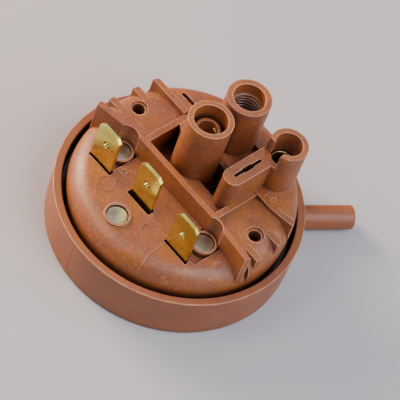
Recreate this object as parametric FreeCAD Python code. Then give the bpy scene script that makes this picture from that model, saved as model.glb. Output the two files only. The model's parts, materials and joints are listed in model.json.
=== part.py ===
import FreeCAD, Part
import math
import os

# Air-pressure level switch of a dishwasher. Millimetres, +Z up. The origin is the
# middle of the cup's base. +X runs along the dividing wall, and +Y points from the
# terminal side to the adjuster towers.

# Clearances
seat_gap = 0.05
running_gap = 0.05
shank_gap = 0.05
lug_gap = 0.35
slot_gap = 0.35
wide_slot_gap = 0.75
tiny = 0.01

# Pressure cup
cup_radius = 27.5
cup_draft = 0.1
cup_height = 11.5
cup_floor = 1.6
cup_wall = 1.8
cup_edge_round = 0.6
cup_rim_round = 0.35
ledge_width = 5.1
ledge_height = 4.4
lug_count = 6
lug_arc_deg = 16.0
lug_height = 1.7

# Hose nipple
nipple_angle_deg = 58.2
nipple_radius = 2.75
nipple_root_radius = 2.87
nipple_root_length = 2.0
nipple_bore_radius = 1.1
nipple_axis_height = 2.95
nipple_length = 14.0
nipple_tip_round = 0.6

# Diaphragm, plate and push pin
bead_height = 1.15
bead_width = 3.4
sheet_thickness = 0.7
roll_radius = 1.2
roll_inset = 3.0
plate_inset = 3.4
plate_thickness = 1.4
plate_rim_height = 0.8
plate_rim_width = 1.2
plate_rib_count = 6
plate_rib_width = 1.0
plate_boss_radius = 3.0
pin_radius = 1.2
pin_length = 3.6

# Housing shell
rim_gap = 1.1
flange_height = 1.75
flange_gap = 0.4
housing_wall = 2.0
roof_wall = 1.7
dome_round = 5.0
terminal_floor = 16.0
pad_top = 19.0
back_top = 20.2
pocket_inset = 1.4
pocket_back = -4.2

# Dividing wall
barrier_near = -4.65
barrier_thick = 1.5
barrier_top = 21.6
barrier_bend = 12.0
barrier_left_drop = 2.6
barrier_right_drop = 1.25
barrier_inset = 0.3
edge_round = 0.25

# Mounting pads
hole_inset = 5.5
hole_y = 2.2
hole_radius = 1.45
hole_depth = 6.5
hole_ring_radius = 1.95
hole_ring_depth = 0.5
crosswall_inner = 10.7
crosswall_thick = 1.4
crosswall_top = 20.0
pad_back = 8.7
pad_bend = 16.4
pad_back_outer = 10.1
ridge_thick = 1.4
ridge_top = 20.7
tooth_width = 1.55
tooth_length = 4.5
tooth_y = -2.05
tooth_pitch = 6.45

# Sunk floor round the front tower, and the ledge in front of the back tower
recess_floor = 13.2
recess_step = 7.2
shelf_top = 19.0
shelf_left = -8.5
shelf_right = 6.0
shelf_step = 2.0
front_floor = 18.0
front_floor_back = 1.5
window_left = 2.7
window_right = 6.0
window_undercut = 2.2
groove_width = 0.9
groove_length = 4.5
groove_depth = 3.5
groove_x = -16.7
groove_y = 11.9

# Adjuster towers
tower_x = -2.4
reset_tower_inset = 9.6
tower_spacing = 11.0
trim_tower_x = 10.6
trim_tower_inset = 9.3
tower_top = 33.0
trim_tower_top = 31.6
tower_radius = 4.93
trim_tower_radius = 4.2
tower_draft = 0.05
set_bore_radius = 3.75
reset_bore_radius = 3.25
reset_mouth_radius = 3.57
reset_mouth_depth = 2.9
trim_bore_radius = 3.0
tower_lip_round = 0.3
buttress_front = 4.4

# Slotted block beside the right tower
block_x = 8.75
block_width = 4.5
block_front = 0.15
block_top = 27.4
block_draft = 0.15
block_slot_width = 0.75
block_slot_wide = 1.15
block_slot_front = 2.5
block_slot_end = 5.0
block_slot_depth = 7.0
notch_left = 3.5
notch_right = 1.35
notch_inset = 2.2

# Adjusting screws, seats and springs
set_screw_depth = 3.1
set_screw_length = 8.4
neck_radius = 2.87
neck_height = 2.0
hollow_depth = 4.2
reset_screw_top = 20.6
reset_screw_length = 4.2
trim_screw_depth = 6.2
trim_screw_length = 6.1
screw_cup_wall = 0.75
screw_cup_depth = 0.9
socket_flats = 2.8
socket_floor = 0.9
socket_depth = 2.4
trim_screw_wall = 0.6
seat_thickness = 1.2
seat_boss_length = 1.6
set_wire = 0.8
reset_wire = 0.7
trim_wire = 0.6
spring_bore_gap = 0.35
set_turns = 5
reset_turns = 3
trim_turns = 4

# Range lever and its pin
lever_thickness = 1.0
lever_width = 9.0
lever_barrel_radius = 1.6
lever_pin_radius = 0.8
lever_inset = 3.0
lever_side_gap = 0.25
lug_thick = 1.3
lever_front_gap = 0.7
finger_width = 3.0
finger_inset = 3.65
finger_nub_radius = 0.7
nub_gap = 0.14
trim_wing_radius = 3.3

# Terminals and rivets
blade_width = 6.3
blade_thick = 0.8
blade_top = 27.0
blade_chamfer = 1.0
blade_hole_radius = 0.9
blade_hole_drop = 4.6
nc_blade_inset = 10.93
nc_blade_reach = 5.3
common_blade_x = -1.5
common_blade_reach = 6.8
no_blade_inset = 12.6
no_blade_reach = 6.0
contact_inset = 10.95
contact_y = -6.9
common_rivet_inset = 6.6
foot_radius = 2.4
boss_radius = 2.9
boss_height = 0.5
boss_pocket_depth = 0.5
well_depth = 1.2
well_gap = 0.12
head_radius = 2.3
head_gap = 0.15
head_height = 0.55
shank_radius = 1.3
contact_radius = 1.9
contact_height = 0.8

# Contact rocker and its bracket
contact_gap = 1.19
rocker_thick = 0.5
rocker_width = 3.0
rocker_end = 1.9
button_radius = 1.5
button_height = 0.6
button_crown = 0.2
rocker_pin_radius = 0.5
rocker_barrel_radius = 0.95
bracket_thick = 0.7
bracket_half_width = 1.7
ear_thick = 0.6
ear_gap = 0.2
ear_drop = 0.8
return_x = 6.0
return_radius = 1.2
return_wire = 0.36
return_turns = 3

# Derived plan
cup_base_radius = cup_radius - cup_draft
cup_inner = cup_radius - cup_wall
chamber_radius = cup_inner - ledge_width
nipple_reach = cup_radius + nipple_length
roll_circle = chamber_radius - roll_inset
plate_radius = roll_circle - plate_inset
flange_radius = cup_inner - flange_gap
housing_radius = cup_inner - rim_gap
cavity_radius = housing_radius - housing_wall
pocket_radius = cavity_radius - pocket_inset
hole_spacing = 2 * (housing_radius - hole_inset)
reset_tower_y = housing_radius - reset_tower_inset
set_tower_y = reset_tower_y - tower_spacing
trim_tower_y = housing_radius - trim_tower_inset
recess_back = reset_tower_y - recess_step
shelf_back = reset_tower_y + shelf_step
block_slot_length = trim_tower_y - block_slot_end - block_slot_front
contact_x = housing_radius - contact_inset
rocker_tilt = math.asin(contact_gap / 2 / contact_x)
finger_x = contact_x - finger_inset
nc_blade_x = nc_blade_inset - housing_radius
nc_blade_y = contact_y - nc_blade_reach
no_blade_x = housing_radius - no_blade_inset
no_blade_y = contact_y - no_blade_reach
common_rivet_y = common_rivet_inset - housing_radius
common_blade_y = common_rivet_y + common_blade_reach
barrier_far = barrier_near + barrier_thick
pad_inner = crosswall_inner + crosswall_thick
lever_pivot_y = cavity_radius - lever_inset
bracket_back = contact_y + rocker_width / 2 + ear_gap + ear_thick
lever_front = bracket_back + lever_front_gap

# Derived heights
bead_bottom = ledge_height + seat_gap
bead_top = bead_bottom + bead_height
skirt_bottom = bead_top + seat_gap
flange_top = skirt_bottom + flange_height
sheet_top = bead_bottom + (bead_height + sheet_thickness) / 2
sheet_bottom = sheet_top - sheet_thickness
plate_bottom = sheet_top + seat_gap
plate_top = plate_bottom + plate_thickness
pin_top = plate_bottom + pin_length
lever_bottom = pin_top + seat_gap
lever_top = lever_bottom + lever_thickness
lever_pivot_z = (lever_bottom + lever_top) / 2
roof_back = recess_floor - roof_wall
set_screw_top = tower_top - set_screw_depth
trim_screw_top = trim_tower_top - trim_screw_depth
roof_front = terminal_floor - roof_wall
foot_top = roof_front - seat_gap
foot_bottom = foot_top - blade_thick
contact_face = foot_bottom - seat_gap - contact_height
button_lift = (contact_x + button_radius) * math.sin(rocker_tilt)
rocker_z = contact_face - seat_gap - button_lift - button_height - rocker_thick / 2
bracket_top = foot_bottom - seat_gap
bracket_bottom = bracket_top - bracket_thick
spring_foot = lever_top + seat_gap


def vec(x, y, z=0.0):
    return FreeCAD.Vector(x, y, z)


def rounded_wire(points, radii=None):
    # Closed outline through the points, with a tangent arc at each corner that has a radius.
    count = len(points)
    radii = radii or [0.0] * count
    starts = []
    ends = []
    edges = []
    arcs = []
    for i, corner in enumerate(points):
        to_last = (points[i - 1] - corner).normalize()
        to_next = (points[(i + 1) % count] - corner).normalize()
        if radii[i] <= 0:
            starts.append(corner)
            ends.append(corner)
            arcs.append(None)
            continue
        half = to_last.getAngle(to_next) / 2
        reach = radii[i] / math.tan(half)
        inward = (to_last + to_next).normalize()
        middle = corner + inward * (radii[i] / math.sin(half) - radii[i])
        starts.append(corner + to_last * reach)
        ends.append(corner + to_next * reach)
        arcs.append(middle)
    for i in range(count):
        if arcs[i] is not None:
            edges.append(Part.Arc(starts[i], arcs[i], ends[i]).toShape())
        following = starts[(i + 1) % count]
        if (following - ends[i]).Length > 1e-6:
            edges.append(Part.LineSegment(ends[i], following).toShape())
    return Part.Wire(edges)


def prism(points, bottom, top, radii=None):
    outline = rounded_wire([vec(x, y, bottom) for x, y in points], radii)
    return Part.Face(outline).extrude(vec(0, 0, top - bottom))


def turned(points, radii=None, angle=360.0):
    outline = rounded_wire([vec(r, 0, z) for r, z in points], radii)
    return Part.Face(outline).revolve(vec(0, 0, 0), vec(0, 0, 1), angle)


def rod(x, y, bottom, top, radius):
    return Part.makeCylinder(radius, top - bottom, vec(x, y, bottom))


def cone(x, y, bottom, top, low_radius, high_radius):
    return Part.makeCone(low_radius, high_radius, top - bottom, vec(x, y, bottom))


def slab(x0, x1, y0, y1, z0, z1):
    return Part.makeBox(x1 - x0, y1 - y0, z1 - z0, vec(x0, y0, z0))


def fuse(shapes):
    return shapes[0].multiFuse(shapes[1:]).removeSplitter()


def soften_top(shape, radius):
    # Rounds the edges that lie in the highest plane of a shape.
    top = shape.BoundBox.ZMax
    edges = [e for e in shape.Edges if abs(e.BoundBox.ZMin - top) < 1e-4]
    return shape.makeFillet(radius, edges)


def spun(shape, angle_deg):
    turned_copy = shape.copy()
    turned_copy.rotate(vec(0, 0, 0), vec(0, 0, 1), angle_deg)
    return turned_copy


def coil_spring(x, y, bottom, top, mean_radius, wire, turns):
    # Each half turn is a tilted half ring, and the halves are tangent where they meet.
    rise = (top - bottom - wire) / (2 * turns)
    ring_radius = math.hypot(mean_radius, rise / 2)
    halves = []
    for count in range(2 * turns):
        side = 1 - 2 * (count % 2)
        start = vec(side * mean_radius, 0, count * rise)
        middle = vec(0, side * ring_radius, (count + 0.5) * rise)
        end = vec(-side * mean_radius, 0, (count + 1) * rise)
        halves.append(Part.Arc(start, middle, end).toShape())
    section = Part.Wire(Part.makeCircle(wire / 2, vec(mean_radius, 0, 0), vec(0, 1, 0)))
    spring = Part.Wire(halves).makePipe(Part.Face(section))
    spring.translate(vec(x, y, bottom + wire / 2))
    return spring


def nipple_solid():
    # Profile in the XZ plane, turned about the nipple's own axis along +X.
    root_end = cup_radius + nipple_root_length
    points = [
        (cup_inner, 0),
        (nipple_reach, 0),
        (nipple_reach, nipple_radius),
        (root_end, nipple_radius),
        (cup_inner, nipple_root_radius),
    ]
    profile = rounded_wire([vec(x, 0, z) for x, z in points], [0, 0, nipple_tip_round, 0, 0])
    solid = Part.Face(profile).revolve(vec(0, 0, 0), vec(1, 0, 0), 360)
    solid.translate(vec(0, 0, nipple_axis_height))
    return solid


def pressure_cup():
    shell = turned(
        [
            (0, 0),
            (cup_base_radius, 0),
            (cup_radius, cup_height),
            (cup_inner, cup_height),
            (cup_inner, ledge_height),
            (chamber_radius, ledge_height),
            (chamber_radius, cup_floor),
            (0, cup_floor),
        ],
        [0, cup_edge_round, cup_rim_round, cup_rim_round, 0, 0, 0, 0],
    )
    nipple = nipple_solid()
    bore = Part.makeCylinder(
        nipple_bore_radius,
        nipple_reach - chamber_radius + 2 * cup_wall,
        vec(chamber_radius - cup_wall, 0, nipple_axis_height),
        vec(1, 0, 0),
    )
    lug_bottom = flange_top + seat_gap
    lug_reach = housing_radius + lug_gap
    lug = turned(
        [
            (cup_inner + tiny, lug_bottom),
            (lug_reach, lug_bottom),
            (lug_reach, lug_bottom + lug_height / 3),
            (cup_inner + tiny, lug_bottom + lug_height),
        ],
        angle=lug_arc_deg,
    )
    lugs = [spun(lug, i * 360.0 / lug_count) for i in range(lug_count)]
    cup = fuse([shell, spun(nipple, nipple_angle_deg)] + lugs)
    return cup.cut(spun(bore, nipple_angle_deg))


def diaphragm():
    bead_outer = chamber_radius + bead_width
    bead_inner = chamber_radius + seat_gap
    outer_roll = roll_radius + sheet_thickness
    low_reach = math.sqrt(outer_roll**2 - sheet_thickness**2)
    upper = [
        vec(0, 0, sheet_top),
        vec(roll_circle - roll_radius, 0, sheet_top),
        vec(roll_circle, 0, sheet_top - roll_radius),
        vec(roll_circle + roll_radius, 0, sheet_top),
    ]
    lower = [
        vec(roll_circle + low_reach, 0, sheet_bottom),
        vec(roll_circle, 0, sheet_top - outer_roll),
        vec(roll_circle - low_reach, 0, sheet_bottom),
        vec(0, 0, sheet_bottom),
    ]
    rim = [
        upper[3],
        vec(bead_inner, 0, sheet_top),
        vec(bead_inner, 0, bead_top),
        vec(bead_outer, 0, bead_top),
        vec(bead_outer, 0, bead_bottom),
        vec(bead_inner, 0, bead_bottom),
        vec(bead_inner, 0, sheet_bottom),
        lower[0],
    ]
    edges = [
        Part.LineSegment(upper[0], upper[1]).toShape(),
        Part.Arc(upper[1], upper[2], upper[3]).toShape(),
    ]
    edges += [Part.LineSegment(a, b).toShape() for a, b in zip(rim, rim[1:])]
    edges += [
        Part.Arc(lower[0], lower[1], lower[2]).toShape(),
        Part.LineSegment(lower[2], lower[3]).toShape(),
        Part.LineSegment(lower[3], upper[0]).toShape(),
    ]
    return Part.Face(Part.Wire(edges)).revolve(vec(0, 0, 0), vec(0, 0, 1), 360)


def diaphragm_plate():
    rim_top = plate_top + plate_rim_height
    disc = rod(0, 0, plate_bottom, plate_top, plate_radius)
    rim = rod(0, 0, plate_top, rim_top, plate_radius)
    rim = rim.cut(rod(0, 0, plate_top, rim_top, plate_radius - plate_rim_width))
    boss = rod(0, 0, plate_top, rim_top, plate_boss_radius)
    rib_half = plate_rib_width / 2
    rib = slab(0, plate_radius - plate_rim_width / 2, -rib_half, rib_half, plate_top, rim_top)
    ribs = [spun(rib, i * 360.0 / plate_rib_count) for i in range(plate_rib_count)]
    hole = rod(0, 0, plate_bottom + plate_thickness / 2, rim_top, pin_radius + shank_gap)
    return fuse([disc, rim, boss] + ribs).cut(hole)


def push_pin():
    body = rod(0, 0, plate_bottom + plate_thickness / 2 + seat_gap, pin_top, pin_radius)
    return soften_top(body, pin_radius / 2)


def dome(top):
    return turned(
        [(0, skirt_bottom), (housing_radius, skirt_bottom), (housing_radius, top), (0, top)],
        [0, 0, dome_round, 0],
    )


def barrier():
    reach = housing_radius + 1
    left_end = barrier_near - barrier_left_drop
    right_end = barrier_near - barrier_right_drop
    wall = prism(
        [
            (-barrier_bend, barrier_near),
            (barrier_bend, barrier_near),
            (reach, right_end),
            (reach, right_end + barrier_thick),
            (barrier_bend, barrier_far),
            (-barrier_bend, barrier_far),
            (-reach, left_end + barrier_thick),
            (-reach, left_end),
        ],
        skirt_bottom + flange_height,
        barrier_top,
    )
    wall = wall.common(rod(0, 0, skirt_bottom, barrier_top, housing_radius - barrier_inset))
    wall = soften_top(wall, edge_round)
    for side in (-1, 1):
        scoop = rod(side * contact_x, contact_y, skirt_bottom, barrier_top + 1, boss_radius + 2 * seat_gap)
        wall = wall.cut(scoop)
    return wall


def back_region(low, high):
    far = housing_radius + 5
    return prism(
        [
            (-far, pad_back),
            (pad_bend, pad_back),
            (far, pad_back + (pad_back_outer - pad_back) * (far - pad_bend) / (housing_radius - pad_bend)),
            (far, far),
            (-far, far),
        ],
        low,
        high,
    )


def pad_ribs():
    # Teeth and ridges that carry the flat levels out over the round shoulder.
    reach = housing_radius - barrier_inset
    inner = reach - tooth_length
    pieces = []
    for side in (-1, 1):
        for row in range(2):
            low = tooth_y + row * tooth_pitch
            ends = sorted((side * inner, side * (reach + 1)))
            pieces.append(slab(ends[0], ends[1], low, low + tooth_width, recess_floor, pad_top))
        ends = sorted((side * crosswall_inner, side * pad_inner))
        pieces.append(slab(ends[0], ends[1], barrier_far, pad_back, recess_floor, crosswall_top))
    pieces.append(
        slab(-reach, -pad_inner, pad_back, pad_back + ridge_thick, recess_floor, ridge_top)
    )
    slope = (pad_back_outer - pad_back) / (housing_radius - pad_bend)
    outer = pad_back + slope * (reach - pad_bend)
    pieces.append(
        prism(
            [
                (pad_bend, pad_back),
                (reach, outer),
                (reach, outer + ridge_thick),
                (pad_bend, pad_back + ridge_thick),
            ],
            recess_floor,
            back_top,
        )
    )
    bound = rod(0, 0, recess_floor, ridge_top, reach)
    return [piece.common(bound) for piece in pieces]


def tower(x, y, bottom, top, radius):
    body = cone(x, y, bottom, top, radius + tower_draft, radius)
    return soften_top(body, tower_lip_round)


def obround(x, front, back, width, z):
    half = width / 2
    return rounded_wire(
        [
            vec(x - half, front, z),
            vec(x + half, front, z),
            vec(x + half, back, z),
            vec(x - half, back, z),
        ],
        [half - tiny, half - tiny, 0, 0],
    )


def slotted_block():
    foot_width = block_width + 2 * block_draft
    foot = obround(block_x, block_front - block_draft, trim_tower_y, foot_width, recess_floor)
    crown = obround(block_x, block_front, trim_tower_y, block_width, block_top)
    return Part.makeLoft([foot, crown], True, True)


def block_slot():
    bottom = block_top - block_slot_depth
    back = block_slot_front + block_slot_length
    third = block_slot_length / 3
    half = block_slot_width / 2
    wide = block_slot_wide / 2
    narrow = slab(block_x - half, block_x + half, block_slot_front, back, bottom, block_top + 1)
    middle = slab(
        block_x - wide, block_x + wide, block_slot_front + third, back - third, bottom, block_top + 1
    )
    return [narrow, middle]


def terminal_places():
    return [
        (nc_blade_x, nc_blade_y, -contact_x, contact_y),
        (common_blade_x, common_blade_y, common_blade_x, common_rivet_y),
        (no_blade_x, no_blade_y, contact_x, contact_y),
    ]


def terminal_wells():
    # Square wells in the deck round the two outer rivet bosses.
    half = boss_radius + well_gap
    wells = []
    for _, blade_y, rivet_x, _ in (terminal_places()[0], terminal_places()[2]):
        wells.append(
            slab(
                rivet_x - half,
                rivet_x + half,
                blade_y + blade_thick / 2 + slot_gap,
                barrier_near,
                terminal_floor - well_depth,
                terminal_floor + tiny,
            )
        )
    return wells


def housing_cavity():
    low = skirt_bottom - 1
    room = rod(0, 0, low, roof_back, cavity_radius)
    pocket = rod(0, 0, low, roof_front, pocket_radius)
    far = housing_radius + 1
    pocket = pocket.common(slab(-far, far, -far, pocket_back, low, roof_front))
    return [room, pocket]


def cross_rod(x0, x1, radius):
    # Rod along X on the lever's pivot.
    return Part.makeCylinder(radius, x1 - x0, vec(x0, lever_pivot_y, lever_pivot_z), vec(1, 0, 0))


def lever_lugs():
    # Two ears under the roof that hold the lever's pin.
    lugs = []
    for side in (-1, 1):
        near = lever_width / 2 + lever_side_gap
        ends = sorted((tower_x + side * near, tower_x + side * (near + lug_thick)))
        front = lever_pivot_y - lever_barrel_radius
        back = lever_pivot_y + lever_barrel_radius
        ear = slab(ends[0], ends[1], front, back, lever_pivot_z, roof_back + tiny)
        tip = cross_rod(ends[0], ends[1], lever_barrel_radius)
        hole = cross_rod(ends[0], ends[1], lever_pin_radius + shank_gap)
        lugs.append(ear.fuse(tip).cut(hole))
    return lugs


def switch_housing():
    far = housing_radius + 5
    sky = tower_top + 1
    flange = rod(0, 0, skirt_bottom, flange_top, flange_radius)
    pads = dome(pad_top).common(slab(-far, far, barrier_far, far, skirt_bottom, sky))
    back = dome(back_top).common(back_region(skirt_bottom, sky))
    deck = dome(terminal_floor).cut(terminal_wells())
    shell = fuse([deck, flange, pads, back, barrier()] + pad_ribs())

    recess = slab(-crosswall_inner, crosswall_inner, barrier_far, recess_back, recess_floor, sky)
    shelf = slab(shelf_left, shelf_right, recess_back - tiny, shelf_back, shelf_top, sky)
    groove = slab(
        groove_x, groove_x + groove_length, groove_y, groove_y + groove_width, back_top - groove_depth, sky
    )
    shell = shell.cut(fuse([recess, shelf])).cut(groove)

    buttress = prism(
        [
            (-crosswall_inner - tiny, recess_back + tiny),
            (-crosswall_inner - tiny, recess_back - crosswall_thick),
            (tower_x - tower_radius, buttress_front),
            (tower_x, buttress_front),
            (tower_x, recess_back + tiny),
        ],
        recess_floor,
        back_top,
    )
    step = slab(
        tower_x, crosswall_inner + tiny, barrier_far - tiny, front_floor_back, recess_floor - tiny, front_floor
    )
    bosses = [
        rod(rivet_x, rivet_y, roof_front, terminal_floor + boss_height, boss_radius)
        for _, _, rivet_x, rivet_y in terminal_places()
    ]
    shell = fuse(
        [
            shell,
            step,
            buttress,
            slotted_block(),
            tower(tower_x, set_tower_y, recess_floor, tower_top, tower_radius),
            tower(tower_x, reset_tower_y, recess_floor, tower_top, tower_radius),
            tower(trim_tower_x, trim_tower_y, recess_floor, trim_tower_top, trim_tower_radius),
        ]
        + bosses
    )

    notch = slab(
        trim_tower_x - notch_left,
        trim_tower_x + notch_right,
        trim_tower_y - trim_tower_radius - 1,
        trim_tower_y - notch_inset,
        block_top,
        sky,
    )
    window = slab(
        window_left, window_right, front_floor_back, recess_back, roof_back - 1, recess_floor + tiny
    )
    undercut = slab(
        window_left,
        window_right,
        recess_back - tiny,
        recess_back + window_undercut,
        roof_back - 1,
        shelf_top - roof_wall,
    )
    cuts = housing_cavity() + block_slot() + [notch, window, undercut]
    low = roof_back - 1
    cuts.append(rod(tower_x, set_tower_y, low, sky, set_bore_radius))
    cuts.append(rod(tower_x, reset_tower_y, low, sky, reset_bore_radius))
    cuts.append(rod(tower_x, reset_tower_y, tower_top - reset_mouth_depth, sky, reset_mouth_radius))
    cuts.append(rod(trim_tower_x, trim_tower_y, low, sky, trim_bore_radius))
    for side in (-1, 1):
        x = side * hole_spacing / 2
        cuts.append(rod(x, hole_y, pad_top - hole_depth, sky, hole_radius))
        cuts.append(rod(x, hole_y, pad_top - hole_ring_depth, sky, hole_ring_radius))
    for blade_x, blade_y, rivet_x, rivet_y in terminal_places():
        half_width = blade_width / 2 + slot_gap
        front_gap = wide_slot_gap if blade_x == common_blade_x else slot_gap
        cuts.append(
            slab(
                blade_x - half_width,
                blade_x + half_width,
                blade_y - blade_thick / 2 - front_gap,
                blade_y + blade_thick / 2 + slot_gap,
                roof_front - 1,
                blade_top,
            )
        )
        pocket_floor = terminal_floor - boss_pocket_depth
        cuts.append(rod(rivet_x, rivet_y, roof_front - 1, terminal_floor, shank_radius + shank_gap))
        cuts.append(rod(rivet_x, rivet_y, pocket_floor, blade_top, head_radius + head_gap))
    shell = shell.cut(cuts)
    return fuse([shell] + lever_lugs())


def hex_prism(x, y, bottom, top, flats):
    radius = flats / math.sqrt(3)
    corners = [
        (x + radius * math.cos(i * math.pi / 3), y + radius * math.sin(i * math.pi / 3)) for i in range(6)
    ]
    return prism(corners, bottom, top)


def set_screw():
    # Threaded body with a slimmer tubular neck, and a hexagon socket below the neck's hollow.
    bottom = set_screw_top - set_screw_length
    shoulder = set_screw_top - neck_height
    body = rod(tower_x, set_tower_y, bottom, shoulder, set_bore_radius - running_gap)
    neck = soften_top(rod(tower_x, set_tower_y, shoulder - tiny, set_screw_top, neck_radius), edge_round)
    hollow = rod(
        tower_x, set_tower_y, set_screw_top - hollow_depth, set_screw_top, neck_radius - screw_cup_wall
    )
    socket = hex_prism(tower_x, set_tower_y, bottom + socket_floor, set_screw_top, socket_flats)
    return fuse([body, neck]).cut([hollow, socket])


def reset_screw():
    # Plain hollow screw: an open cup at the top with a hexagon socket in its floor.
    radius = reset_bore_radius - running_gap
    bottom = reset_screw_top - reset_screw_length
    body = soften_top(rod(tower_x, reset_tower_y, bottom, reset_screw_top, radius), edge_round)
    cup_bottom = reset_screw_top - screw_cup_depth
    cup = rod(tower_x, reset_tower_y, cup_bottom, reset_screw_top, radius - screw_cup_wall)
    socket = hex_prism(tower_x, reset_tower_y, bottom + socket_floor, cup_bottom + tiny, socket_flats)
    return body.cut([cup, socket])


def trim_screw():
    radius = trim_bore_radius - running_gap
    bottom = trim_screw_top - trim_screw_length
    body = rod(trim_tower_x, trim_tower_y, bottom, trim_screw_top, radius)
    socket_bottom = bottom + socket_floor
    hollow = rod(
        trim_tower_x, trim_tower_y, socket_bottom + socket_depth, trim_screw_top, radius - trim_screw_wall
    )
    socket = hex_prism(trim_tower_x, trim_tower_y, socket_bottom, trim_screw_top, socket_flats)
    return body.cut([hollow, socket])


def spring_seat(x, y, screw_bottom, bore_radius, wire):
    # Brass seat: a disc under the screw and a boss that centres the spring.
    top = screw_bottom - seat_gap
    bottom = top - seat_thickness
    boss_radius_here = bore_radius - spring_bore_gap - wire - seat_gap
    disc = rod(x, y, bottom, top, bore_radius - running_gap)
    boss = cone(x, y, bottom - seat_boss_length, bottom, boss_radius_here * 0.7, boss_radius_here)
    return disc.fuse(boss).removeSplitter()


def adjusting_spring(x, y, screw_bottom, bore_radius, wire, turns):
    top = screw_bottom - 2 * seat_gap - seat_thickness
    mean_radius = bore_radius - spring_bore_gap - wire / 2
    return coil_spring(x, y, spring_foot, top, mean_radius, wire, turns)


def range_lever():
    half = lever_width / 2
    bend = finger_width / 3
    finger_left = finger_x - finger_width / 2
    finger_right = finger_x + finger_width / 2
    finger_tip = contact_y - finger_width / 2
    plate = prism(
        [
            (tower_x - half, lever_pivot_y),
            (tower_x - half, lever_front),
            (finger_left, lever_front),
            (finger_left, finger_tip),
            (finger_right, finger_tip),
            (finger_right, lever_front + finger_width),
            (tower_x + half, lever_front + finger_width),
            (tower_x + half, lever_pivot_y),
        ],
        lever_bottom,
        lever_top,
        [0, 2 * bend, bend, bend, bend, 2 * bend, bend, 0],
    )
    wing = rod(trim_tower_x, trim_tower_y, lever_bottom, lever_top, trim_wing_radius)
    bridge = slab(
        tower_x,
        trim_tower_x,
        trim_tower_y - trim_wing_radius * 0.7,
        trim_tower_y + trim_wing_radius * 0.7,
        lever_bottom,
        lever_top,
    )
    side_clear = half + lever_side_gap + lug_thick + lever_side_gap
    gap = slab(
        tower_x + half,
        tower_x + side_clear,
        lever_pivot_y - lever_barrel_radius - lever_side_gap,
        cavity_radius,
        lever_bottom,
        lever_top,
    )
    barrel = cross_rod(tower_x - half, tower_x + half, lever_barrel_radius)
    bore = cross_rod(tower_x - half, tower_x + half, lever_pin_radius + running_gap)
    under_rocker = rocker_z - rocker_thick / 2 - finger_x * math.sin(rocker_tilt)
    nub = rod(finger_x, contact_y, lever_top, under_rocker - nub_gap, finger_nub_radius)
    wings = wing.fuse(bridge).cut(gap)
    return fuse([plate, wings, barrel, nub]).cut(bore)


def lever_pin():
    reach = lever_width / 2 + lever_side_gap + lug_thick
    return cross_rod(tower_x - reach, tower_x + reach, lever_pin_radius)


def spade_terminal(blade_x, blade_y, rivet_x, rivet_y):
    half = blade_width / 2
    outline = [
        vec(blade_x - half, blade_y - blade_thick / 2, foot_bottom),
        vec(blade_x + half, blade_y - blade_thick / 2, foot_bottom),
        vec(blade_x + half, blade_y - blade_thick / 2, blade_top - blade_chamfer),
        vec(blade_x + half - blade_chamfer, blade_y - blade_thick / 2, blade_top),
        vec(blade_x - half + blade_chamfer, blade_y - blade_thick / 2, blade_top),
        vec(blade_x - half, blade_y - blade_thick / 2, blade_top - blade_chamfer),
    ]
    blade = Part.Face(rounded_wire(outline)).extrude(vec(0, blade_thick, 0))
    hole = Part.makeCylinder(
        blade_hole_radius,
        2 * blade_thick,
        vec(blade_x, blade_y - blade_thick, blade_top - blade_hole_drop),
        vec(0, 1, 0),
    )
    tongue = prism(
        [
            (blade_x - half, blade_y),
            (blade_x + half, blade_y),
            (rivet_x + foot_radius, rivet_y),
            (rivet_x - foot_radius, rivet_y),
        ],
        foot_bottom,
        foot_top,
    )
    end = rod(rivet_x, rivet_y, foot_bottom, foot_top, foot_radius)
    rivet_hole = rod(rivet_x, rivet_y, foot_bottom, foot_top, shank_radius + shank_gap)
    return fuse([blade.cut(hole), tongue, end]).cut(rivet_hole)


def rivet(x, y, head_below_top, head_below_radius, head_below_height):
    seat = terminal_floor - boss_pocket_depth + seat_gap
    upper = soften_top(rod(x, y, seat, seat + head_height, head_radius), head_height / 3)
    shank = rod(x, y, head_below_top, seat, shank_radius)
    lower = rod(x, y, head_below_top - head_below_height, head_below_top, head_below_radius)
    return fuse([upper, shank, lower])


def common_bracket():
    front = common_rivet_y - foot_radius
    left = common_blade_x - bracket_half_width
    plate = slab(left, bracket_half_width, front, bracket_back, bracket_bottom, bracket_top)
    hole = rod(common_blade_x, common_rivet_y, bracket_bottom, bracket_top, shank_radius + shank_gap)
    ears = []
    for side in (-1, 1):
        near = rocker_width / 2 + ear_gap
        ends = sorted((contact_y + side * near, contact_y + side * (near + ear_thick)))
        ear = slab(
            -bracket_half_width,
            bracket_half_width,
            ends[0],
            ends[1],
            rocker_z - rocker_pin_radius - ear_drop,
            bracket_bottom + tiny,
        )
        pin_hole = rocker_rod(ends[0], ends[1], rocker_pin_radius + shank_gap)
        ears.append(ear.cut(pin_hole))
    return fuse([plate] + ears).cut(hole)


def tilted(shape):
    # Rest position of the rocker: its normally closed end is up.
    shape.rotate(vec(0, contact_y, rocker_z), vec(0, 1, 0), math.degrees(rocker_tilt))
    return shape


def rocker_rod(y0, y1, radius):
    # Rod along Y on the rocker's pivot.
    return Part.makeCylinder(radius, y1 - y0, vec(0, y0, rocker_z), vec(0, 1, 0))


def contact_rocker():
    half = rocker_width / 2
    low = rocker_z - rocker_thick / 2
    high = rocker_z + rocker_thick / 2
    strip = slab(-contact_x, contact_x, contact_y - half, contact_y + half, low, high)
    ends = [rod(side * contact_x, contact_y, low, high, rocker_end) for side in (-1, 1)]
    barrel = rocker_rod(contact_y - half, contact_y + half, rocker_barrel_radius)
    bore = rocker_rod(contact_y - half, contact_y + half, rocker_pin_radius + running_gap)
    return tilted(fuse([strip, barrel] + ends).cut(bore))


def rocker_pin():
    reach = rocker_width / 2 + ear_gap + ear_thick
    return rocker_rod(contact_y - reach, contact_y + reach, rocker_pin_radius)


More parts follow.
